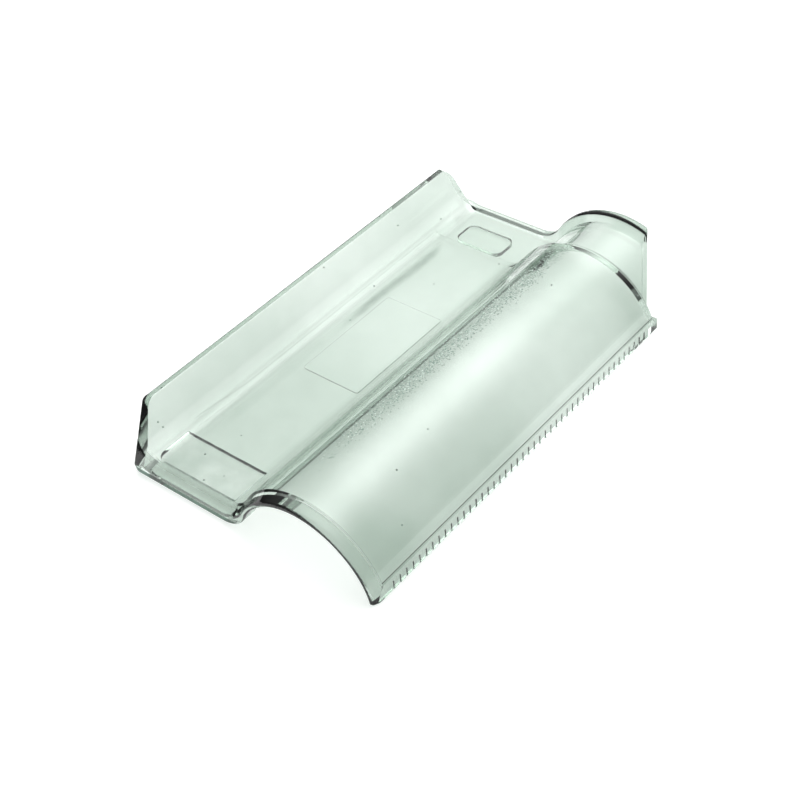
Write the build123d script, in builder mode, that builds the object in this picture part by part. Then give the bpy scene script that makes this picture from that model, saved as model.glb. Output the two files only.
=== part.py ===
# Pressed glass roof tile: a flat pan and a half-round barrel moulded as one piece of clear glass.
# +X runs across the roof to the barrel side, +Y up the roof slope from the eave end to the head end,
# +Z up. The origin is at the middle of the box that the tile fills, on the face that it lies on.
import os
from math import hypot, radians, sqrt, tan

from build123d import *

# Overall size.
tile_length = 440.0
tile_width = 268.0

# Barrel: one axis carries the top face, the underside, the neck and the drip lip.
barrel_rise = 62.6          # crown above the resting plane
barrel_radius = 74.2        # top face
barrel_shell = 7.5          # glass thickness over the barrel
foot_inset = 4.6            # outer face of the side foot inside the barrel's circle
foot_width = 6.0            # thickness of the side foot

# Pan and upstand.
pan_level = 13.5            # top face of the pan
pan_shell = 8.5             # glass thickness of the pan
wall_height = 46.5          # top of the upstand above the resting plane
wall_top_width = 7.5        # along the top of the upstand
wall_lean = 51.5            # inner face of the upstand above the horizontal, in degrees
wall_outer_lean = 66.5      # outer face of the upstand above the horizontal, in degrees

# Neck at the head, which the next tile's barrel covers.
neck_length = 61.0          # step to the head end
neck_drop = 8.2             # barrel crown falls by this much at the step
neck_pan_drop = 3.0         # pan falls by this much at the step
step_run = 6.0              # slope of the step, along the tile
step_under = 3.5            # the underside's slope starts this much nearer the eave
rim_length = 9.5            # raised bead along the head edge, as high as the main length

# Eave lip, pocket, bare plate and batten lug, all on the underside.
lip_length = 14.0           # drip lip along the eave
lip_drop = 1.7              # lip below the barrel's underside
nose_length = 11.0          # sloping nose of the eave, along the top face
nose_drop = 5.5             # and down the eave end
nose_round = 3.0            # rounding where the slope meets the eave end
pocket_front = 13.6         # eave end to the pocket
pocket_length = 37.4        # pocket along the slope
pocket_depth = 4.0          # pocket into the pan's underside
pocket_round = 1.2          # upper edge of the pocket's far wall
pocket_corner = 9.0
pocket_width = 89.0
pocket_outset = 6.0         # pocket beyond the foot of the upstand
plate_width = 62.0
plate_length = 116.0
plate_raise = 0.8
plate_corner = 3.0
plate_middle = 224.0        # eave end to the middle of the plate
plate_inset = 19.0          # foot of the upstand to the plate
lug_width = 50.0
lug_length = 28.0
lug_corner = 8.0
lug_round = 1.8             # lower edge of the lug
lug_back = 24.5             # head end to the far face of the lug
lug_inset = 13.5            # foot of the upstand to the lug

# Corner cuts.
notch_length = 53.5         # oblique cut of the barrel's head corner, along the slope
notch_foot = 11.0           # width left at the side where the oblique cut ends
notch_head = 24.7           # barrel axis to the start of the cut at the head
wall_cut_run = 37.0         # the upstand's eave corner is cut back by this much at its top
wall_cut_start = 6.0        # and starts this high at the eave end
wall_back = 7.5             # head end to the end of the upstand
heel_height = 10.0          # side foot beyond the step

# Fine groove that borders the barrel along the side foot and the oblique cut.
border_width = 1.5
border_depth = 0.9
border_inset = 4.5          # oblique cut to the groove

# Knurling of the foot's outer face: upright grooves.
flute_pitch = 7.8
flute_width = 2.8
flute_depth = 0.6
flute_height = 9.0
flute_margin = 14.0         # plain length of foot left at each end

# Roundings of the mould.
valley_round = 24.0         # pan into the barrel, on the top face
spring_round = 30.0         # the same on the underside
lip_round = 28.0            # the same on the lip's underside
wall_foot_round = 12.0      # pan into the upstand
bend_round = 36.0           # the same on the underside
lip_bend = 3.0              # the same on the lip's underside
wall_eave_round = 11.0      # upper corners of the upstand
wall_head_round = 9.0
wall_edge_round = 2.6       # long top edges of the upstand
step_round = 2.0
rim_round = 4.5
rim_head_round = 3.5
cut_round = 1.5             # upper edge of the oblique cut
edge_round = 1.5            # lower edge of the eave end
clear = 5.0                 # how far a cutting shape runs past the glass
touch = 0.01                # how near an edge lies to the place where it is looked for

# Places worked out from the sizes above.
right_face = tile_width / 2
left_edge = -tile_width / 2
foot_reach = barrel_radius - foot_inset
wall_tip_x = left_edge - wall_edge_round * (1 / tan(radians(wall_outer_lean / 2)) - 1)
eave_y = -tile_length / 2
head_y = tile_length / 2
lip_y = eave_y + lip_length
step_y = head_y - neck_length
step_end_y = step_y + step_run
web_y = step_y - step_under
rim_y = head_y - rim_length
wall_end_y = head_y - wall_back
barrel_x = right_face - foot_reach
notch_x = barrel_x + notch_head
notch_y = head_y - notch_length
notch_end_x = right_face - notch_foot
barrel_z = barrel_rise - barrel_radius
barrel_under = barrel_radius - barrel_shell
lip_radius = barrel_under - lip_drop
neck_radius = barrel_radius - neck_drop
neck_under = neck_radius - barrel_shell
neck_level = pan_level - neck_pan_drop
pan_under = pan_level - pan_shell
to_eave = (0, -1, 0)


def arc_height(radius, offset):
    """Height of a barrel circle at a distance from the barrel's axis."""
    return barrel_z + sqrt(radius**2 - offset**2)


def arc_reach(radius, height):
    """Distance from the barrel's axis at which a barrel circle has a height."""
    return sqrt(radius**2 - (height - barrel_z) ** 2)


def wall_inner_x(height):
    """Inner face of the upstand at a height."""
    return left_edge + wall_top_width + (wall_height - height) / tan(radians(wall_lean))


def wall_outer_x(height):
    """Outer face of the upstand at a height."""
    return wall_tip_x + (wall_height - height) / tan(radians(wall_outer_lean))


pan_left = wall_inner_x(pan_level)
foot_tangent_x = pan_left + wall_foot_round * tan(radians(wall_lean / 2))


def top_edges(y, radius, level):
    """Edges of the top face at y: inner face of the upstand, pan, valley and barrel."""

    def on_top(edge):
        middle = edge @ 0.5
        reach = hypot(middle.X - barrel_x, middle.Z - barrel_z)
        flat = max(abs((edge @ end).Y - y) for end in (0, 0.5, 1)) < touch
        above = middle.Z > level - touch and reach > radius - touch
        return flat and above and middle.X > wall_inner_x(middle.Z) - touch

    return glass_tile.edges().filter_by(on_top)


def on_cut(edge):
    """Whether an edge runs along the oblique cut, on the top face."""

    def off_cut(place):
        return (place.X - notch_x) * (notch_y - head_y) - (place.Y - head_y) * (notch_end_x - notch_x)

    middle = edge @ 0.5
    high = hypot(middle.X - barrel_x, middle.Z - barrel_z) > neck_radius - touch
    return high and max(abs(off_cut(edge @ end)) for end in (0, 0.5, 1)) < touch * notch_length


def on_lip(edge):
    """Whether an edge of the eave end borders the lip's underside."""
    middle = edge @ 0.5
    return middle.Z < touch or hypot(middle.X - barrel_x, middle.Z - barrel_z) < lip_radius + touch


def shell_section(y, top_radius, under_radius, top, under, bend, corner):
    """Cross-section of the tile at y: upstand, pan and barrel, with the side foot where it reaches."""
    spring = (barrel_x - arc_reach(top_radius, top), top)
    inner_spring = (barrel_x - arc_reach(under_radius, under), under)
    foot_x = min(right_face, barrel_x + arc_reach(top_radius, heel_height))
    foot_inner = min(right_face - foot_width, barrel_x + arc_reach(under_radius, 0))
    foot_top = (foot_x, arc_height(top_radius, foot_x - barrel_x))
    inner_top = (foot_inner, arc_height(under_radius, foot_inner - barrel_x))
    with BuildSketch(Plane(origin=(0, y, 0), x_dir=(1, 0, 0), z_dir=to_eave)) as section:
        with BuildLine():
            Polyline(
                inner_spring,
                (wall_outer_x(under), under),
                (wall_tip_x, wall_height),
                (left_edge + wall_top_width, wall_height),
                (wall_inner_x(top), top),
                spring,
            )
            ThreePointArc(spring, (barrel_x, barrel_z + top_radius), foot_top)
            if foot_x < right_face:
                Line(foot_top, (right_face, foot_top[1]))
            Polyline((right_face, foot_top[1]), (right_face, 0), (foot_inner, 0))
            if foot_inner == right_face - foot_width:
                Line((foot_inner, 0), inner_top)
            ThreePointArc(inner_top, (barrel_x, barrel_z + under_radius), inner_spring)
        make_face()
        for place, rounding in (
            (spring, valley_round),
            ((wall_inner_x(top), top), wall_foot_round),
            ((wall_outer_x(under), under), bend),
            (inner_spring, corner),
        ):
            fillet(section.vertices().sort_by_distance((*place, 0))[0], rounding)
    return section.sketch


def hollow_section(y, under_radius):
    """The space under the barrel at y."""
    inner_spring = (barrel_x - arc_reach(under_radius, pan_under), pan_under)
    foot_inner = min(right_face - foot_width, barrel_x + arc_reach(under_radius, 0))
    inner_top = (foot_inner, arc_height(under_radius, foot_inner - barrel_x))
    pan_side = inner_spring[0] - spring_round
    with BuildSketch(Plane(origin=(0, y, 0), x_dir=(1, 0, 0), z_dir=to_eave)) as section:
        with BuildLine():
            Polyline(
                inner_top, (foot_inner, -clear), (pan_side, -clear), (pan_side, pan_under), inner_spring
            )
            ThreePointArc(inner_spring, (barrel_x, barrel_z + under_radius), inner_top)
        make_face()
        fillet(section.vertices().sort_by_distance((*inner_spring, 0))[0], spring_round)
    return section.sketch


with BuildPart() as glass_tile:
    # Lengths of the shell that share the high top face: drip lip, main length, web of the step, rim.
    for start, end, under_radius, under, bend, corner in (
        (eave_y, lip_y, lip_radius, 0, lip_bend, lip_round),
        (lip_y, web_y, barrel_under, pan_under, bend_round, spring_round),
        (web_y, step_end_y, neck_under, pan_under, bend_round, spring_round),
        (rim_y, head_y, neck_under, pan_under, bend_round, spring_round),
    ):
        section = shell_section(end, barrel_radius, under_radius, pan_level, under, bend, corner)
        extrude(section, amount=end - start, dir=to_eave)

    # Sloping nose of the eave, with its lower edge rounded.
    eave_end = glass_tile.faces().filter_by(Plane.XZ).sort_by(Axis.Y)[0]
    chamfer(top_edges(eave_y, barrel_radius, pan_level), nose_drop, nose_length, reference=eave_end)
    fillet(top_edges(eave_y, barrel_radius - nose_drop, pan_level - nose_drop), nose_round)

    # Slope of the step, from the main length down to the neck.
    step_end = glass_tile.faces().filter_by(Plane.XZ).sort_by_distance((barrel_x, step_end_y, barrel_rise))[0]
    chamfer(top_edges(step_end_y, barrel_radius, pan_level), neck_drop, step_run, reference=step_end)

    # Softer edges at the step and along the rim.
    for y, rounding in ((step_y, step_round), (rim_y, rim_round), (head_y, rim_head_round)):
        fillet(top_edges(y, barrel_radius, pan_level), rounding)

    # Neck between the step and the rim, let into both so that the upstand runs on without a groove.
    neck_section = shell_section(
        rim_y + rim_round, neck_radius, neck_under, neck_level, pan_under, bend_round, spring_round
    )
    extrude(neck_section, amount=rim_y + rim_round - step_y + step_round, dir=to_eave)

    # Underside's slope at the step, from the hollow of the main length to that of the neck.
    main_hollow = hollow_section(web_y, barrel_under)
    neck_hollow = hollow_section(step_end_y, neck_under)
    loft([main_hollow, neck_hollow], ruled=True, mode=Mode.SUBTRACT)

    # Rounded long top edges of the upstand.
    wall_top = glass_tile.faces().filter_by(Plane.XY).sort_by(Axis.X)[0]
    fillet(wall_top.edges().filter_by(Axis.Y), wall_edge_round)

    # Oblique cut of the barrel's head corner, which ends on a short flat of the foot.
    with BuildSketch(Plane.XY):
        with BuildLine():
            Polyline(
                (notch_x, head_y),
                (notch_end_x, notch_y),
                (right_face + clear, notch_y),
                (right_face + clear, head_y + clear),
                (notch_x, head_y + clear),
                close=True,
            )
        make_face()
    extrude(amount=barrel_rise + clear, mode=Mode.SUBTRACT)

    # Rounded upper edge of the oblique cut.
    fillet(glass_tile.edges().filter_by(on_cut), cut_round)

    # Upstand's eave corner, cut obliquely from the eave edge of the pan to the top of the upstand,
    # and rounded where it meets the top.
    cut_low = Vector(wall_outer_x(wall_cut_start), eave_y, wall_cut_start)
    cut_pan = Vector(pan_left, eave_y, pan_level)
    cut_top = Vector(left_edge, eave_y + wall_cut_run, wall_height)
    cut_normal = (cut_pan - cut_low).cross(cut_top - cut_low)
    cut_along = cut_normal.cross(Vector(0, 0, 1)).normalized()
    cut_out = Vector(0, 0, 1).cross(cut_along)
    cut_reach = wall_cut_run + wall_height
    cut_fall = cut_reach * cut_normal.dot(cut_out) / cut_normal.Z
    with BuildSketch(Plane(origin=cut_top, x_dir=cut_out, z_dir=cut_along)) as corner_cut:
        with BuildLine():
            Polyline(
                (0, 0), (cut_reach, -cut_fall), (cut_reach, clear), (-cut_reach, clear), (-cut_reach, 0),
                close=True,
            )
        make_face()
        fillet(corner_cut.vertices().sort_by_distance((0, 0, 0))[0], wall_eave_round)
    extrude(corner_cut.sketch, amount=wall_height, both=True, mode=Mode.SUBTRACT)

    # Upstand's head end, with its upper corner rounded.
    with BuildSketch(Plane.YZ.offset(left_edge - clear)) as end_cut:
        with BuildLine():
            Polyline(
                (wall_end_y, wall_height),
                (wall_end_y, pan_level),
                (head_y + clear, pan_level),
                (head_y + clear, wall_height + clear),
                (rim_y - wall_height, wall_height + clear),
                (rim_y - wall_height, wall_height),
                close=True,
            )
        make_face()
        fillet(end_cut.vertices().sort_by_distance((wall_end_y, wall_height, 0))[0], wall_head_round)
    extrude(end_cut.sketch, amount=foot_tangent_x - left_edge + clear, mode=Mode.SUBTRACT)

    # Pocket behind the lip, over which the rim of the tile below hooks.
    with BuildSketch(Plane.XY):
        with Locations((pan_left - pocket_outset, eave_y + pocket_front)):
            pocket = Rectangle(pocket_width, pocket_length, align=(Align.MIN, Align.MIN))
        fillet(pocket.vertices().group_by(Axis.Y)[0].sort_by(Axis.X)[0], pocket_corner)
    extrude(amount=pan_under + pocket_depth, mode=Mode.SUBTRACT)
    pocket_place = (pan_left, lip_y, pan_under + pocket_depth)
    pocket_roof = glass_tile.faces().filter_by(Plane.XY).sort_by_distance(pocket_place)[0]
    fillet(pocket_roof.edges().filter_by(Axis.X).sort_by(Axis.Y)[-1], pocket_round)

    # Bare raised plate on the pan's underside.
    with BuildSketch(Plane.XY.offset(pan_under)):
        with Locations((pan_left + plate_inset + plate_width / 2, eave_y + plate_middle)):
            RectangleRounded(plate_width, plate_length, plate_corner)
    extrude(amount=-plate_raise)

    # Lug that hooks over the roof batten, level with the foot and the lip.
    with BuildSketch(Plane.XY):
        with Locations((pan_left + lug_inset + lug_width / 2, head_y - lug_back - lug_length / 2)):
            RectangleRounded(lug_width, lug_length, lug_corner)
    extrude(amount=pan_under)
    lug_foot = glass_tile.faces().filter_by(Plane.XY).group_by(Axis.Z)[0].sort_by(Axis.Y)[-1]
    fillet(lug_foot.edges(), lug_round)

    # Lower edge of the drip lip.
    eave_end = glass_tile.faces().filter_by(Plane.XZ).sort_by(Axis.Y)[0]
    fillet(eave_end.edges().filter_by(on_lip), edge_round)

    # Fine groove that borders the barrel, cut down to a coaxial cylinder. It runs along the side
    # foot, and across the neck beside the oblique cut.
    cut_run = Vector(notch_end_x - notch_x, notch_y - head_y, 0).normalized()
    cut_in = Vector(cut_run.Y, -cut_run.X, 0)
    cut_ends = Vector(notch_x, head_y, 0), Vector(notch_end_x, notch_y, 0)
    near_side = [place + cut_in * border_inset for place in cut_ends]
    far_side = [place + cut_in * border_width for place in reversed(near_side)]
    border_start = eave_y + nose_length
    with BuildPart() as side_border:
        with Locations((barrel_x, border_start, arc_height(barrel_radius, foot_reach))):
            align_low = (Align.MIN, Align.MIN, Align.MIN)
            Box(foot_reach + clear, step_y - border_start, border_width, align=align_low)
        with Locations(Location((barrel_x, 0, barrel_z), (90, 0, 0))):
            Cylinder(barrel_radius - border_depth, 2 * tile_length, mode=Mode.SUBTRACT)
    with BuildPart() as neck_border:
        with BuildSketch(Plane.XY):
            with BuildLine():
                Polyline(*near_side, *far_side, close=True)
            make_face()
        extrude(amount=barrel_rise)
        with Locations(Location((barrel_x, 0, barrel_z), (90, 0, 0))):
            Cylinder(neck_radius - border_depth, 2 * tile_length, mode=Mode.SUBTRACT)
        split(bisect_by=Plane.XZ.offset(-rim_y), keep=Keep.TOP)
    add(side_border.part, mode=Mode.SUBTRACT)
    add(neck_border.part, mode=Mode.SUBTRACT)

    # Grooves of the knurling.
    flute_radius = (flute_width**2 / 4 + flute_depth**2) / (2 * flute_depth)
    flute_span = notch_y - eave_y - 2 * flute_margin
    flute_x = right_face + flute_radius - flute_depth
    with Locations((flute_x, (notch_y + eave_y) / 2, 0)):
        with GridLocations(flute_pitch, flute_pitch, 1, int(flute_span / flute_pitch)):
            Cylinder(flute_radius, 2 * flute_height, mode=Mode.SUBTRACT)

glass_tile.part.label = "glass_tile"
os.makedirs("parts", exist_ok=True)
export_step(glass_tile.part, "parts/glass_tile.step")
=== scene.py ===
# %% [markdown]
# # A pressed glass roof tile
#
# The real object is one piece of pale green pressed glass: a flat pan, an upstand on its left,
# a half-round barrel on its right and a lowered neck at the far end. This lesson dresses the
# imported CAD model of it. The CAD model is the fixed frame, so everything here is in metres and
# in the same place as in the CAD. The tile's own mesh stays, because a clear solid is only as
# good as its shape, and it gets its finish from nodes. Small things that sit in its skin are
# added as meshes.

# %% Load the frame
import math
import random
import bpy
import bmesh
from mathutils import Matrix, Vector
from mathutils.bvhtree import BVHTree


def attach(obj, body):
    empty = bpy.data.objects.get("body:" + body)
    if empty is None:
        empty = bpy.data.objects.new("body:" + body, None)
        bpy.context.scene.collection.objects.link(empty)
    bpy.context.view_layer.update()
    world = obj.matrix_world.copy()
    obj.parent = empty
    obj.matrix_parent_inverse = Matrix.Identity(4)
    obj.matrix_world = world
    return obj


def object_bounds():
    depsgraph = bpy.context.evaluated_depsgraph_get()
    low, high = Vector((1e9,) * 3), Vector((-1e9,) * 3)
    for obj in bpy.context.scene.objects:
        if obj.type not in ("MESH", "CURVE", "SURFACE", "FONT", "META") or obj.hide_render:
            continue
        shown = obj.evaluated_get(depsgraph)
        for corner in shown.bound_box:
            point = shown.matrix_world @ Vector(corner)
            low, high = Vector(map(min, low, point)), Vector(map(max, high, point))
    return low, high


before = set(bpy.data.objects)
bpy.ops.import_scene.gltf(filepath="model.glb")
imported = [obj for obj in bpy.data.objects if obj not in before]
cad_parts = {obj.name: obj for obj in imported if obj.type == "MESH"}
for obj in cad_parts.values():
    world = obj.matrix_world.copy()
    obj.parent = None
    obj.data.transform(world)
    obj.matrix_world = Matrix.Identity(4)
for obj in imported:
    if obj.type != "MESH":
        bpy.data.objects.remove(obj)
cad_box = [list(corner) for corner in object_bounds()]
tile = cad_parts["glass_tile"]
low, high = (Vector(corner) for corner in cad_box)
print("frame loaded:", sorted(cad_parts), "size", tuple(round(v, 4) for v in high - low))

# %% [markdown]
# ## The camera
#
# The tile was photographed from above its near right corner, with a long lens. The place, the
# turn and the lens were worked out from the straight edges of the tile. A camera looks along
# its own -Z, so its three axes are written as the columns of a matrix: right, up and back.

# %% Place the camera
CAMERA_PLACE = Vector((0.64819, -0.73533, 0.84501))
CAMERA_RIGHT = Vector((0.77879, 0.62308, -0.07252))
CAMERA_UP = Vector((-0.37374, 0.55374, 0.74410))
CAMERA_BACK = Vector((0.50380, -0.55239, 0.66412))
LENS_MM = 68.43
SENSOR_MM = 36.0
CLIP_NEAR = 0.01

camera_data = bpy.data.cameras.new("camera")
camera_data.sensor_fit = "HORIZONTAL"
camera_data.sensor_width = SENSOR_MM
camera_data.lens = LENS_MM
camera_data.clip_start = CLIP_NEAR
camera = bpy.data.objects.new("camera", camera_data)
turn = Matrix((CAMERA_RIGHT, CAMERA_UP, CAMERA_BACK)).transposed()
camera.matrix_world = Matrix.Translation(CAMERA_PLACE) @ turn.to_4x4()
bpy.context.scene.collection.objects.link(camera)
bpy.context.scene.camera = camera
print("camera at", tuple(round(v, 3) for v in CAMERA_PLACE), "lens", LENS_MM)

# %% [markdown]
# ## Writing shader maths as expressions
#
# A material is a network of nodes. Joining nodes by hand is long to read, so a small class
# wraps one output socket. Adding or multiplying two wrapped sockets adds a Math node, and
# `1 - mask` works as well. Any other node comes from `node`, with its settings first and the
# values or links of its sockets after them.


# %% The wrapped socket
class Wire:
    """One output socket of a node, with arithmetic."""

    def __init__(self, tree, socket):
        self.tree = tree
        self.socket = socket

    def node(self, kind, settings=None, sockets=None, output=0):
        """Any other node of the same material."""
        return add_node(self.tree, kind, settings, sockets, output)

    def math(self, operation, *values):
        """One Math node on numbers or wires."""
        return self.node("ShaderNodeMath", {"operation": operation}, dict(enumerate(values)))

    def __add__(self, other):
        return self.math("ADD", self, other)

    def __radd__(self, other):
        return self.math("ADD", other, self)

    def __sub__(self, other):
        return self.math("SUBTRACT", self, other)

    def __rsub__(self, other):
        return self.math("SUBTRACT", other, self)

    def __mul__(self, other):
        return self.math("MULTIPLY", self, other)

    def __rmul__(self, other):
        return self.math("MULTIPLY", other, self)

    def __truediv__(self, other):
        return self.math("DIVIDE", self, other)

    def __rtruediv__(self, other):
        return self.math("DIVIDE", other, self)

    def smooth(self, start, end):
        """0 below start, 1 above end, with a soft step between."""
        return self.node("ShaderNodeMapRange", {"interpolation_type": "SMOOTHSTEP"},
                         {"Value": self, "From Min": start, "From Max": end})

    def band(self, start, end, soft):
        """1 between start and end, falling to 0 over soft outside them."""
        return self.smooth(start - soft, start) * (1 - self.smooth(end, end + soft))


def add_node(tree, kind, settings=None, sockets=None, output=0):
    """Adds one node: its settings are set first, then its sockets get values or links."""
    new = tree.nodes.new(kind)
    for name, value in (settings or {}).items():
        setattr(new, name, value)
    for name, value in (sockets or {}).items():
        if isinstance(value, Wire):
            tree.links.new(value.socket, new.inputs[name])
        else:
            new.inputs[name].default_value = value
    return Wire(tree, new.outputs[output])


print("wrapped socket ready")

# %% [markdown]
# ## Four helpers for every material
#
# Each material here starts in the same way and knows where on the tile it is. The tile's
# object sits at the origin, so Object coordinates are the CAD's own metres, and a mask can be
# written with the sizes of the real tile. They come before the materials, so that each material
# is only a few lines.


# %% Helpers for the materials
def start_material(name):
    """An empty node material, its tree and its output node."""
    material = bpy.data.materials.new(name)
    material.use_nodes = True
    tree = material.node_tree
    tree.nodes.clear()
    return material, tree, tree.nodes.new("ShaderNodeOutputMaterial")


def place_on_tile(tree):
    """The place on the tile in metres, as a vector and as its x, y and z."""
    place = add_node(tree, "ShaderNodeTexCoord", output="Object")
    split = place.node("ShaderNodeSeparateXYZ", None, {0: place}).socket.node
    return place, [Wire(tree, split.outputs[axis]) for axis in "XYZ"]


def noise(place, scale, detail=1.0, roughness=0.5):
    """Soft random value about 0.5, with features about 1 / scale metres wide."""
    return place.node("ShaderNodeTexNoise", None, {
        "Vector": place, "Scale": scale, "Detail": detail, "Roughness": roughness})


def mix_color(factor, color_a, color_b):
    """Blends two colours, which the Mix node takes as 6 and 7 and gives out as 2."""
    return factor.node("ShaderNodeMix", {"data_type": "RGBA"},
                       {"Factor": factor, 6: color_a, 7: color_b}, 2)


print("material helpers ready")

# %% [markdown]
# ## How deep the tint looks, with painted light and shade
#
# Pressed glass isn't equally thick or equally clean everywhere, but much of what these masks put
# into the glass's colour is painted light and painted shade. The colour is deeper in the near
# half, at the head and in the pocket, partly as tint and partly as painted shade; low on the
# right side near the eave, as painted shade of the darker floor under the barrel; on the far
# half of the crown, as painted shade that dims the gleam there; and on the neck and at the far
# end of the valley. It is paler at the foot and the rim of the upstand and on the rest of the
# barrel, as painted highlight. A soft darker streak of painted shade runs along the pan beside
# the foot of the upstand. These are masks of the place on the tile, each 0 off its place and 1
# on it, and a table says how much depth each one adds or, below 0, takes away. Painting them by
# hand would also work, but a mask keeps its place if the tile changes. A step is written as its
# start and its end, and a band as its start, its end and the width of its soft edges, all in
# metres.

# %% Masks along the tile
NEAR_HALF_STEP = (-0.07, 0.03)
EAVE_STEP = (low.y, low.y + 0.10)
HEAD_STEP = (0.06, 0.16)
SIDE_STEP = (0.085, high.x)


def masks_along(x, y):
    """The near half, the eave and the head, and the right side within the first two."""
    # The near half and the head are deeper partly as tint and partly as painted shade.
    near_half = 1 - y.smooth(*NEAR_HALF_STEP)
    eave = 1 - y.smooth(*EAVE_STEP)
    side = x.smooth(*SIDE_STEP)
    return {
        "near half": near_half,
        "eave": eave,
        "head": y.smooth(*HEAD_STEP),
        # The right side's two masks are painted shade, deepest at the eave.
        "side in the near half": side * near_half,
        "side at the eave": side * eave,
    }


print("masks along the tile ready, eave", tuple(round(y, 3) for y in EAVE_STEP))

# %% Masks of the pan and the upstand
POCKET_X = (-0.103, -0.014, 0.004)
POCKET_Y = (-0.206, -0.172, 0.003)
STREAK_X = (-0.0865, -0.0865, 0.005)
STREAK_Y = (-0.14, 0.12, 0.03)
STREAK_FAR_STEP = (-0.02, 0.10)
WANDER_WIDE = 0.006
WALL_FOOT_X = (-0.109, -0.102, 0.003)
MOUTH_STEP = (-0.20, -0.15)
RIM_STEP_X = (low.x + 0.005, low.x + 0.008)
RIM_STEP_Z = (0.038, 0.046)


def wander(place):
    """A slow sideways drift, for lines that aren't quite straight."""
    return noise(place, scale=12.0) * WANDER_WIDE - WANDER_WIDE / 2


def masks_of_pan(place, x, y, z):
    """The pocket, the streak, the upstand's foot and rim, and blotches on both sides of 0."""
    # The pocket is deeper partly as tint and partly as painted shade.
    pocket = x.band(*POCKET_X) * y.band(*POCKET_Y)
    # The streak is painted shade along the pan, beside the upstand's foot.
    streak = (x + wander(place)).band(*STREAK_X) * y.band(*STREAK_Y)
    # The upstand's foot is paler as a painted highlight, most of all at the mouth.
    wall_foot = x.band(*WALL_FOOT_X)
    blotches = noise(place, scale=40.0, detail=3.0, roughness=0.6) - 0.5
    return {
        "pocket": pocket,
        "streak in the far half": streak * y.smooth(*STREAK_FAR_STEP),
        "uneven streak": streak * noise(place, scale=24.0),
        "wall foot": wall_foot,
        "wall foot at the mouth": wall_foot * (1 - y.smooth(*MOUTH_STEP)),
        # The rim of the upstand is paler as a painted highlight.
        "rim": (1 - x.smooth(*RIM_STEP_X)) * z.smooth(*RIM_STEP_Z),
        "blotches": blotches,
        "blotches in the pocket": blotches * pocket,
    }


print("masks of the pan ready, pocket", POCKET_X[:2], POCKET_Y[:2])

# %% Masks of the barrel and the neck
BARREL_STEP = (0.048, 0.066)
CROWN_X = (0.066, 0.09, 0.015)
CROWN_STEP_Y = (-0.03, 0.09)
DROP_STEP_X = (0.085, 0.105)
DROP_STEP_Y = (0.115, 0.15)
NECK_STEP_X = (0.02, 0.12)
NECK_STEP_Y = (0.157, 0.164)
VALLEY_X = (0.004, 0.027, 0.004)
VALLEY_STEP_Y = (0.09, 0.13)


def masks_of_barrel(x, y):
    """The barrel and its mouth, the far crown, the drop to the neck, and the valley's end."""
    # The barrel is paler as a painted highlight, and the far crown is deeper as painted shade
    # that dims the gleam.
    barrel = x.smooth(*BARREL_STEP)
    return {
        "barrel": barrel,
        "barrel at the mouth": barrel * (1 - y.smooth(*MOUTH_STEP)),
        "far crown": x.band(*CROWN_X) * y.smooth(*CROWN_STEP_Y),
        "drop to the neck": x.smooth(*DROP_STEP_X) * y.smooth(*DROP_STEP_Y),
        "neck": x.smooth(*NECK_STEP_X) * y.smooth(*NECK_STEP_Y),
        "valley end": x.band(*VALLEY_X) * y.smooth(*VALLEY_STEP_Y),
    }


print("masks of the barrel ready, crown", CROWN_X[:2])

# %% Add the masks up
PLAIN_DEPTH = 0.42
TINT_AND_LIGHT_SHARES = {
    "near half": 0.28,
    "eave": -0.10,
    "head": 0.20,
    "side in the near half": 0.20,
    "side at the eave": 0.40,
    "pocket": 0.10,
    "streak in the far half": 1.4,
    "uneven streak": 0.3,
    "wall foot": -0.3,
    "wall foot at the mouth": -0.4,
    "rim": -0.6,
    "barrel": -0.22,
    "barrel at the mouth": 0.30,
    "far crown": 0.42,
    "drop to the neck": 0.40,
    "neck": 0.60,
    "valley end": 0.50,
    "blotches": 0.30,
    "blotches in the pocket": 0.90,
}


def add_up(masks, shares, start):
    """start, and each mask times its share."""
    return sum((masks[name] * share for name, share in shares.items()), start)


def tint_and_painted_light(place, x, y, z):
    """0 for the palest glass and painted highlight, 1 for the deepest glass and painted shade.
    """
    masks = {**masks_along(x, y), **masks_of_pan(place, x, y, z), **masks_of_barrel(x, y)}
    return add_up(masks, TINT_AND_LIGHT_SHARES, PLAIN_DEPTH)


print("tint ready:", len(TINT_AND_LIGHT_SHARES), "masks on a plain depth of", PLAIN_DEPTH)

# %% [markdown]
# ## Painted dark lines at the steps
#
# Fine dark lines show where the tile's steps bend the light away: at the foot of the upstand and
# just beside it, at the two long edges of the pocket and at the lower edge of the eave. They are
# painted shade: narrow bands of near-black colour, drawn over the steps that the mesh already
# has.
# The noise makes them a little uneven, as they are on the tile. The tile is clear, so a band
# that should show on the top face alone is also kept to that face's height.

# %% Masks of the fine lines
FOOT_LINE_X = (-0.1014, -0.1014, 0.0008)
FOOT_LINE_Y = (-0.155, 0.150, 0.01)
FOOT_LINE_BEND = 0.003
FOOT_LINE_BEND_STEP = (-0.16, -0.09)
STREAK_LINE_X = (-0.0865, -0.0865, 0.0035)
STREAK_LINE_Y = (0.04, 0.125, 0.03)
TOP_FACE_Z = (0.0125, 0.0140, 0.0004)
POCKET_FRONT_X = (-0.092, -0.014, 0.003)
POCKET_FRONT_Y = (-0.2086, -0.2072, 0.0005)
POCKET_BACK_X = (-0.103, -0.014, 0.001)
POCKET_BACK_Y = (-0.1722, -0.1707, 0.0006)
LIP_STEP_X = (-0.01, 0.01)
LIP_STEP_Y = (-0.2190, -0.2185)
LIP_Z = (0.0008, 0.0055, 0.0008)
EDGE_SHADE_SHARES = {"foot line": 0.32, "streak line": 0.6, "pocket front": 1.1, "pocket back": 1.3, "lip": 1.8}
UNEVEN_LEAST = 0.3
UNEVEN_MORE = 0.8


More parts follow.
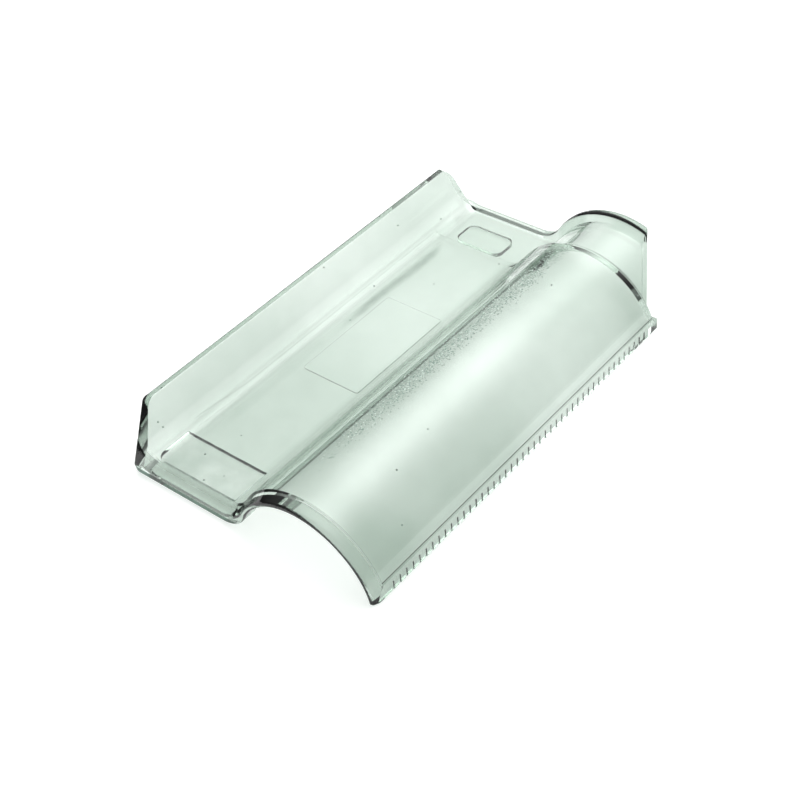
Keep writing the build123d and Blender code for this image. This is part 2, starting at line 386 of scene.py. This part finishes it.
def painted_edge_shade(place, x, y, z):
    """0 on plain glass, up to 1 on the painted dark lines."""
    bend = (1 - y.smooth(*FOOT_LINE_BEND_STEP)) * FOOT_LINE_BEND
    top_face = z.band(*TOP_FACE_Z)
    masks = {
        "foot line": (x + bend).band(*FOOT_LINE_X) * y.band(*FOOT_LINE_Y),
        "streak line": (x + wander(place)).band(*STREAK_LINE_X) * y.band(*STREAK_LINE_Y),
        "pocket front": x.band(*POCKET_FRONT_X) * y.band(*POCKET_FRONT_Y) * top_face,
        "pocket back": x.band(*POCKET_BACK_X) * y.band(*POCKET_BACK_Y) * top_face,
        "lip": z.band(*LIP_Z) * (1 - y.smooth(*LIP_STEP_Y)) * (1 - x.smooth(*LIP_STEP_X)),
    }
    uneven = noise(place, scale=90.0, detail=2.0) * UNEVEN_MORE + UNEVEN_LEAST
    return uneven * add_up(masks, EDGE_SHADE_SHARES, 0)


print("line masks ready, seam at x", FOOT_LINE_X[0])

# %% [markdown]
# ## The glass
#
# The tile is soda-lime glass with a little iron in it, which takes some red and blue out of the
# light. Where the light goes a long way inside the glass it comes out greener. That part of the
# tint is a Volume Absorption inside the solid, and the rest is the shader's own colour, because
# the photographed edges stay pale. That colour also carries the painted light and shade of the
# masks above. Cycles can't find the light that a lamp sends through glass onto the ground, so
# for shadow rays the surface is a tinted Transparent shader instead, and the tile throws the
# pale shadow of clear glass. A very low bump bends the reflections a little, as the mould's skin
# does.

# %% Make the glass material
PALE_GLASS_AND_HIGHLIGHT = (0.80, 0.85, 0.815, 1.0)
DEEP_GLASS_AND_SHADE = (0.48, 0.56, 0.505, 1.0)
EDGE_SHADE_COLOR = (0.01, 0.03, 0.02, 1.0)
SHADOW_TINT = (0.86, 0.89, 0.87, 1.0)
ABSORBED_COLOR = (0.25, 0.55, 0.34, 1.0)
ABSORBED_DENSITY = 5.0
GLASS_IOR = 1.52
GLASS_ROUGHNESS = 0.02
WAVE_HEIGHT = 0.00008


def make_glass():
    """Clear tinted glass with painted light and shade in its colour, and slow waves in its skin.
    """
    material, tree, out = start_material("clear_glass")
    place, (x, y, z) = place_on_tile(tree)
    # This colour mixes the glass's tint with painted shade and painted highlight from the masks.
    tint = mix_color(tint_and_painted_light(place, x, y, z), PALE_GLASS_AND_HIGHLIGHT, DEEP_GLASS_AND_SHADE)
    # The dark lines laid over it are painted shade.
    tint = mix_color(painted_edge_shade(place, x, y, z), tint, EDGE_SHADE_COLOR)
    waves = noise(place, scale=28.0, detail=1.5, roughness=0.4) * WAVE_HEIGHT
    bump = place.node("ShaderNodeBump", None, {
        "Strength": 1.0, "Distance": 1.0, "Height": waves})
    glass = place.node("ShaderNodeBsdfPrincipled", None, {
        "Base Color": tint, "Roughness": GLASS_ROUGHNESS, "IOR": GLASS_IOR,
        "Transmission Weight": 1.0, "Normal": bump})
    through = place.node("ShaderNodeBsdfTransparent", None, {"Color": SHADOW_TINT})
    shadow_ray = add_node(tree, "ShaderNodeLightPath", output="Is Shadow Ray")
    surface = place.node("ShaderNodeMixShader", None, {0: shadow_ray, 1: glass, 2: through})
    inside = place.node("ShaderNodeVolumeAbsorption", None, {
        "Color": ABSORBED_COLOR, "Density": ABSORBED_DENSITY})
    tree.links.new(surface.socket, out.inputs["Surface"])
    tree.links.new(inside.socket, out.inputs["Volume"])
    return material


clear_glass = make_glass()
tile.data.materials.clear()
tile.data.materials.append(clear_glass)
print("glass nodes:", len(clear_glass.node_tree.nodes), "on", len(tile.data.polygons), "faces")

# %% [markdown]
# ## The stippled flank
#
# The barrel's left flank is pebbled: the mould left thousands of tiny pimples there, each about
# a millimetre wide. They lie thickest halfway up the flank and thin out towards the crown, the
# valley and the eave, and a smaller patch lies at the far end of the valley. They scatter the
# light, and their dark and pale dots are painted on them as painted shade and painted glints.
# A bump alone gives a grain that a render's clean-up wipes away, so the pimples are real: low
# domes on the barrel's circle, made in one loop and joined in one mesh. Each place is drawn at
# random from a fixed seed, and the pimple there is kept or dropped by how thick the stipple is
# at that place.

# %% Draw the places of the pimples
BARREL_X = 0.0644
BARREL_Z = -0.0116
BARREL_RADIUS = 0.0742
STIPPLE_X = (0.005, 0.0605)
STIPPLE_Y = (-0.190, 0.154)
FLANK_STEP = (0.034, 0.046)
CROWN_STEP = (0.048, 0.0605)
EAVE_FADE_STEP = (-0.190, -0.04)
HEAD_FADE_STEP = (0.09, 0.154)
HEAD_LOSS = 0.5
VALLEY_START_STEP = (0.005, 0.012)
VALLEY_END_STEP = (0.022, 0.034)
VALLEY_THICKNESS = 0.5
STIPPLE_TRIES = 12500
STIPPLE_SEED = 12
PIMPLE_RADII = (0.00045, 0.00075)


def soft_step(value, start, end):
    """0 below start, 1 above end, with a soft step between."""
    share = min(max((value - start) / (end - start), 0.0), 1.0)
    return share * share * (3 - 2 * share)


def stipple_thickness(x, y):
    """How thick the stipple is, from 0 to 1."""
    head = soft_step(y, *HEAD_FADE_STEP)
    flank = soft_step(x, *FLANK_STEP) * (1 - soft_step(x, *CROWN_STEP))
    flank = flank * soft_step(y, *EAVE_FADE_STEP) * (1 - head * HEAD_LOSS)
    valley = soft_step(x, *VALLEY_START_STEP) * (1 - soft_step(x, *VALLEY_END_STEP)) * head
    return flank + valley * VALLEY_THICKNESS


def stipple_places():
    """Places on the barrel's top face, each with the direction out of it and a radius."""
    draw = random.Random(STIPPLE_SEED)
    for _ in range(STIPPLE_TRIES):
        x = draw.uniform(*STIPPLE_X)
        y = draw.uniform(*STIPPLE_Y)
        kept = draw.random() < stipple_thickness(x, y)
        radius = draw.uniform(*PIMPLE_RADII)
        if kept:
            across = (x - BARREL_X) / BARREL_RADIUS
            outward = Vector((across, 0, math.sqrt(1 - across * across)))
            axis = Vector((BARREL_X, y, BARREL_Z))
            yield axis + outward * BARREL_RADIUS, outward, radius


pimples = list(stipple_places())
print("pimples:", len(pimples))

# %% Shape one pimple
PIMPLE_SIDES = 6
# Each ring's width and height, and the top's height, as shares of the pimple's radius.
PIMPLE_RINGS = ((1.0, -0.05), (0.75, 0.11))
PIMPLE_TOP = 0.15
ALONG_TILE = Vector((0, 1, 0))


def add_pimple(mesh, centre, outward, radius):
    """A closed dome: two rings, a top point and a flat base just under the glass."""
    side = outward.cross(ALONG_TILE).normalized()
    ahead = outward.cross(side)
    rings = []
    for share, height in PIMPLE_RINGS:
        ring = []
        for step in range(PIMPLE_SIDES):
            angle = 2 * math.pi * step / PIMPLE_SIDES
            offset = (side * math.cos(angle) + ahead * math.sin(angle)) * share
            corner = offset + outward * height
            ring.append(mesh.verts.new(centre + corner * radius))
        rings.append(ring)
    top = mesh.verts.new(centre + outward * PIMPLE_TOP * radius)
    base, brow = rings
    mesh.faces.new(reversed(base))
    for step in range(PIMPLE_SIDES):
        after = (step + 1) % PIMPLE_SIDES
        mesh.faces.new((base[step], base[after], brow[after], brow[step]))
        mesh.faces.new((brow[step], brow[after], top))


print("pimple of", PIMPLE_SIDES, "sides, height", PIMPLE_TOP, "of its radius")

# %% Raise the pimples
# The two pimple colours are painted shade and painted glints of the light that the pimples
# scatter.
PIMPLE_PAINTED_SHADE = (0.18, 0.27, 0.22, 1.0)
PIMPLE_PAINTED_GLINT = (0.66, 0.76, 0.70, 1.0)
PIMPLE_SHADE_STEP = (0.45, 0.65)
PIMPLE_ROUGHNESS = 0.4


def make_stipple_glass():
    """Frosted glass whose dots are dark painted shade or pale painted glints from one pimple to
    the next.
    """
    material, tree, out = start_material("stippled_glass")
    place, _ = place_on_tile(tree)
    shade = noise(place, scale=600.0, roughness=0.6).smooth(*PIMPLE_SHADE_STEP)
    frosted = place.node("ShaderNodeBsdfPrincipled", None, {
        "Base Color": mix_color(shade, PIMPLE_PAINTED_SHADE, PIMPLE_PAINTED_GLINT),
        "Roughness": PIMPLE_ROUGHNESS, "IOR": GLASS_IOR})
    tree.links.new(frosted.socket, out.inputs["Surface"])
    return material


def finish_piece(name, mesh, material):
    """Turns a bmesh into a piece that rides on the tile, with its finish."""
    bmesh.ops.recalc_face_normals(mesh, faces=mesh.faces)
    data = bpy.data.meshes.new(name)
    mesh.to_mesh(data)
    mesh.free()
    data.materials.append(material)
    for face in data.polygons:
        face.use_smooth = True
    piece = bpy.data.objects.new(name, data)
    bpy.context.scene.collection.objects.link(piece)
    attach(piece, "root")
    return piece


def make_stipple():
    """All the pimples in one mesh."""
    mesh = bmesh.new()
    for centre, outward, radius in pimples:
        add_pimple(mesh, centre, outward, radius)
    return finish_piece("flank_stipple", mesh, make_stipple_glass())


stipple = make_stipple()
print("stipple faces:", len(stipple.data.polygons))

# %% [markdown]
# ## Seeds in the skin
#
# A tank of melted glass always holds a few bubbles and grains that didn't melt. Glass makers
# call them seeds and stones. This tile shows about twenty of them as fine dark specks in its
# skin. Each is a very flat dark dome of the same shape as a pimple. A ray cast straight down
# onto the tile's own mesh finds the top face and its direction, so a speck sits in the skin
# wherever it is put.

# %% Set the seeds into the skin
SEED_PLACES = (
    (-0.1286, -0.168), (-0.1148, -0.1895), (-0.1112, -0.1884), (-0.0724, -0.1826),
    (-0.0421, -0.1922), (-0.0522, -0.2046), (-0.1108, 0.2100), (-0.1053, 0.1722),
    (-0.0235, 0.1517), (-0.0549, 0.0956), (-0.0980, 0.0630), (0.1215, -0.1689),
    (0.0897, -0.0947), (0.0960, -0.1410), (0.0537, 0.0130), (-0.0850, 0.0140),
    (-0.1250, 0.0300), (-0.1180, 0.1250), (0.0700, 0.1000), (-0.0630, -0.1500),
)
SEED_RADII = (0.00095, 0.00075, 0.0008, 0.0009, 0.00075)
SEED_COLOR = (0.02, 0.045, 0.03, 1.0)
SEED_SHADE_STEP = (0.4, 0.6)
SEED_ROUGHNESS = 0.3
RAY_START = 0.2
DOWN = Vector((0, 0, -1))


def make_seed_glass():
    """Nearly black glass with a paler grain here and there."""
    material, tree, out = start_material("seed_glass")
    place, _ = place_on_tile(tree)
    shade = noise(place, scale=900.0).smooth(*SEED_SHADE_STEP)
    # The seeds' paler grain reuses the colour of the pimples' painted shade.
    grain = place.node("ShaderNodeBsdfPrincipled", None, {
        "Base Color": mix_color(shade, SEED_COLOR, PIMPLE_PAINTED_SHADE), "Roughness": SEED_ROUGHNESS})
    tree.links.new(grain.socket, out.inputs["Surface"])
    return material


def make_seeds():
    """All the seeds in one mesh. They take the radii in turn."""
    corners = [corner.co for corner in tile.data.vertices]
    tile_faces = BVHTree.FromPolygons(corners, [face.vertices for face in tile.data.polygons])
    mesh = bmesh.new()
    for number, (x, y) in enumerate(SEED_PLACES):
        top, normal, _, _ = tile_faces.ray_cast(Vector((x, y, RAY_START)), DOWN)
        add_pimple(mesh, top, normal, SEED_RADII[number % len(SEED_RADII)])
    return finish_piece("seeds", mesh, make_seed_glass())


seeds = make_seeds()
print("seeds:", len(SEED_PLACES), "faces:", len(seeds.data.polygons))

# %% [markdown]
# ## The studio
#
# The tile lies on plain white. The floor is a matt white sheet that keeps the tile's shadow. A
# little of its white is its own light for the rays that the camera, the gloss and the glass
# send out, so that it shows as plain white. It is very wide, so that its far edge lies close to
# the horizon, and only a low view looks past it at the darker walls of the room.

# %% Lay the floor
FLOOR_HALF = 60.0
FLOOR_BELOW = 0.0002
FLOOR_GLOW = 0.37
FLOOR_COLOR = (0.75, 0.75, 0.75, 1.0)
WHITE = (1.0, 1.0, 1.0, 1.0)


def make_floor_white():
    """Matt white that glows a little for the rays that should see plain white."""
    material, tree, out = start_material("white_floor")
    light_path = tree.nodes.new("ShaderNodeLightPath")
    camera_ray, glossy_ray, glass_ray = (Wire(tree, light_path.outputs[name]) for name in (
        "Is Camera Ray", "Is Glossy Ray", "Is Transmission Ray"))
    seen = camera_ray + glossy_ray + glass_ray
    matt = seen.node("ShaderNodeBsdfDiffuse", None, {"Color": FLOOR_COLOR})
    glow = seen.node("ShaderNodeEmission", None, {
        "Color": WHITE, "Strength": seen.math("MINIMUM", seen, 1.0) * FLOOR_GLOW})
    both = seen.node("ShaderNodeAddShader", None, {0: matt, 1: glow})
    tree.links.new(both.socket, out.inputs["Surface"])
    return material


def lay_floor():
    """One square sheet, a hair below the tile."""
    corners = [(x * FLOOR_HALF, y * FLOOR_HALF, 0)
               for x, y in ((-1, -1), (1, -1), (1, 1), (-1, 1))]
    mesh = bpy.data.meshes.new("floor")
    mesh.from_pydata(corners, [], [(0, 1, 2, 3)])
    mesh.materials.append(make_floor_white())
    floor = bpy.data.objects.new("floor", mesh)
    floor.location.z = -FLOOR_BELOW
    bpy.context.scene.collection.objects.link(floor)
    return floor


floor = lay_floor()
print(floor.name, "laid, half width", FLOOR_HALF, "m")

# %% [markdown]
# ## The light
#
# One soft lamp hangs behind the head end, so that the floor is brighter there. It is kept out
# of the reflections, because its square edges would show in the glass. What shows instead is a
# soft gleam in the room's own light, behind the head end too. It is a wide oval whose long axis
# leans, and it shows as a soft bright band along the barrel. The walls of the room are darker
# near the floor than its ceiling, and the edges of the glass pick that dark band up. The view
# transform is Standard, so that a colour shows as it is written.

# %% Hang the lamp
LAMP_FROM = Vector((-0.2, 0.55, 0.81)).normalized()
LAMP_FAR = 1.05
LAMP_SIZE = (0.6, 0.4)
LAMP_WATTS = 4.6


def hang_lamp():
    """A soft lamp that points at the tile."""
    data = bpy.data.lights.new("soft_lamp", "AREA")
    data.shape = "RECTANGLE"
    data.size, data.size_y = LAMP_SIZE
    data.energy = LAMP_WATTS
    lamp = bpy.data.objects.new("soft_lamp", data)
    lamp.location = LAMP_FROM * LAMP_FAR
    lamp.rotation_euler = LAMP_FROM.to_track_quat("Z", "Y").to_euler()
    lamp.visible_glossy = False
    lamp.visible_transmission = False
    bpy.context.scene.collection.objects.link(lamp)
    return lamp


lamp = hang_lamp()
print("lamp at", tuple(round(v, 2) for v in lamp.location))

# %% Light the room
ROOM_STRENGTH = 0.47
WALL_SHARE = 0.25
WALL_STEP = (0.02, 0.5)
GLEAM_MIDDLE = Vector((-0.14, 0.54, 0.83)).normalized()
GLEAM_NEAR = Vector((-0.124, 0.517, 0.847)).normalized()
GLEAM_FAR = Vector((-0.31, 0.66, 0.69)).normalized()
GLEAM_WIDE = 0.95
GLEAM_TALL = 1.05
GLEAM_FRONT_STEP = (0.0, 0.2)
GLEAM_STRENGTH = 4.0


def light_room():
    """Pale walls under a white ceiling, with one soft oval gleam."""
    world = bpy.data.worlds.new("white_room")
    bpy.context.scene.world = world
    world.use_nodes = True
    tree = world.node_tree
    tree.nodes.clear()
    out = tree.nodes.new("ShaderNodeOutputWorld")
    direction = add_node(tree, "ShaderNodeTexCoord", output="Generated")
    height = direction.node("ShaderNodeSeparateXYZ", None, {0: direction}, "Z")
    walls = height.smooth(*WALL_STEP) * (1 - WALL_SHARE) + WALL_SHARE

    def along(axis):
        return direction.node("ShaderNodeVectorMath", {"operation": "DOT_PRODUCT"},
                              {0: direction, 1: axis}, "Value")

    side_axis = GLEAM_MIDDLE.cross(GLEAM_NEAR - GLEAM_FAR).normalized()
    rise_axis = side_axis.cross(GLEAM_MIDDLE)
    side = along(side_axis) / GLEAM_WIDE
    rise = along(rise_axis) / GLEAM_TALL
    square = side * side + rise * rise
    soft = 1 - square.math("SQRT", square).smooth(0.0, 1.0)
    gleam = soft * soft * along(GLEAM_MIDDLE).smooth(*GLEAM_FRONT_STEP)
    room = direction.node("ShaderNodeBackground", None, {
        "Color": WHITE, "Strength": walls * ROOM_STRENGTH + gleam * GLEAM_STRENGTH})
    tree.links.new(room.socket, out.inputs["Surface"])
    return world


bpy.context.scene.view_settings.view_transform = "Standard"
print("lit:", light_room().name)

# %% [markdown]
# ## The end
#
# A dressed model should be as large as the bare one. The CAD's box was measured at the start, as
# cad_box.

# %% Finish
print("scene dressed")
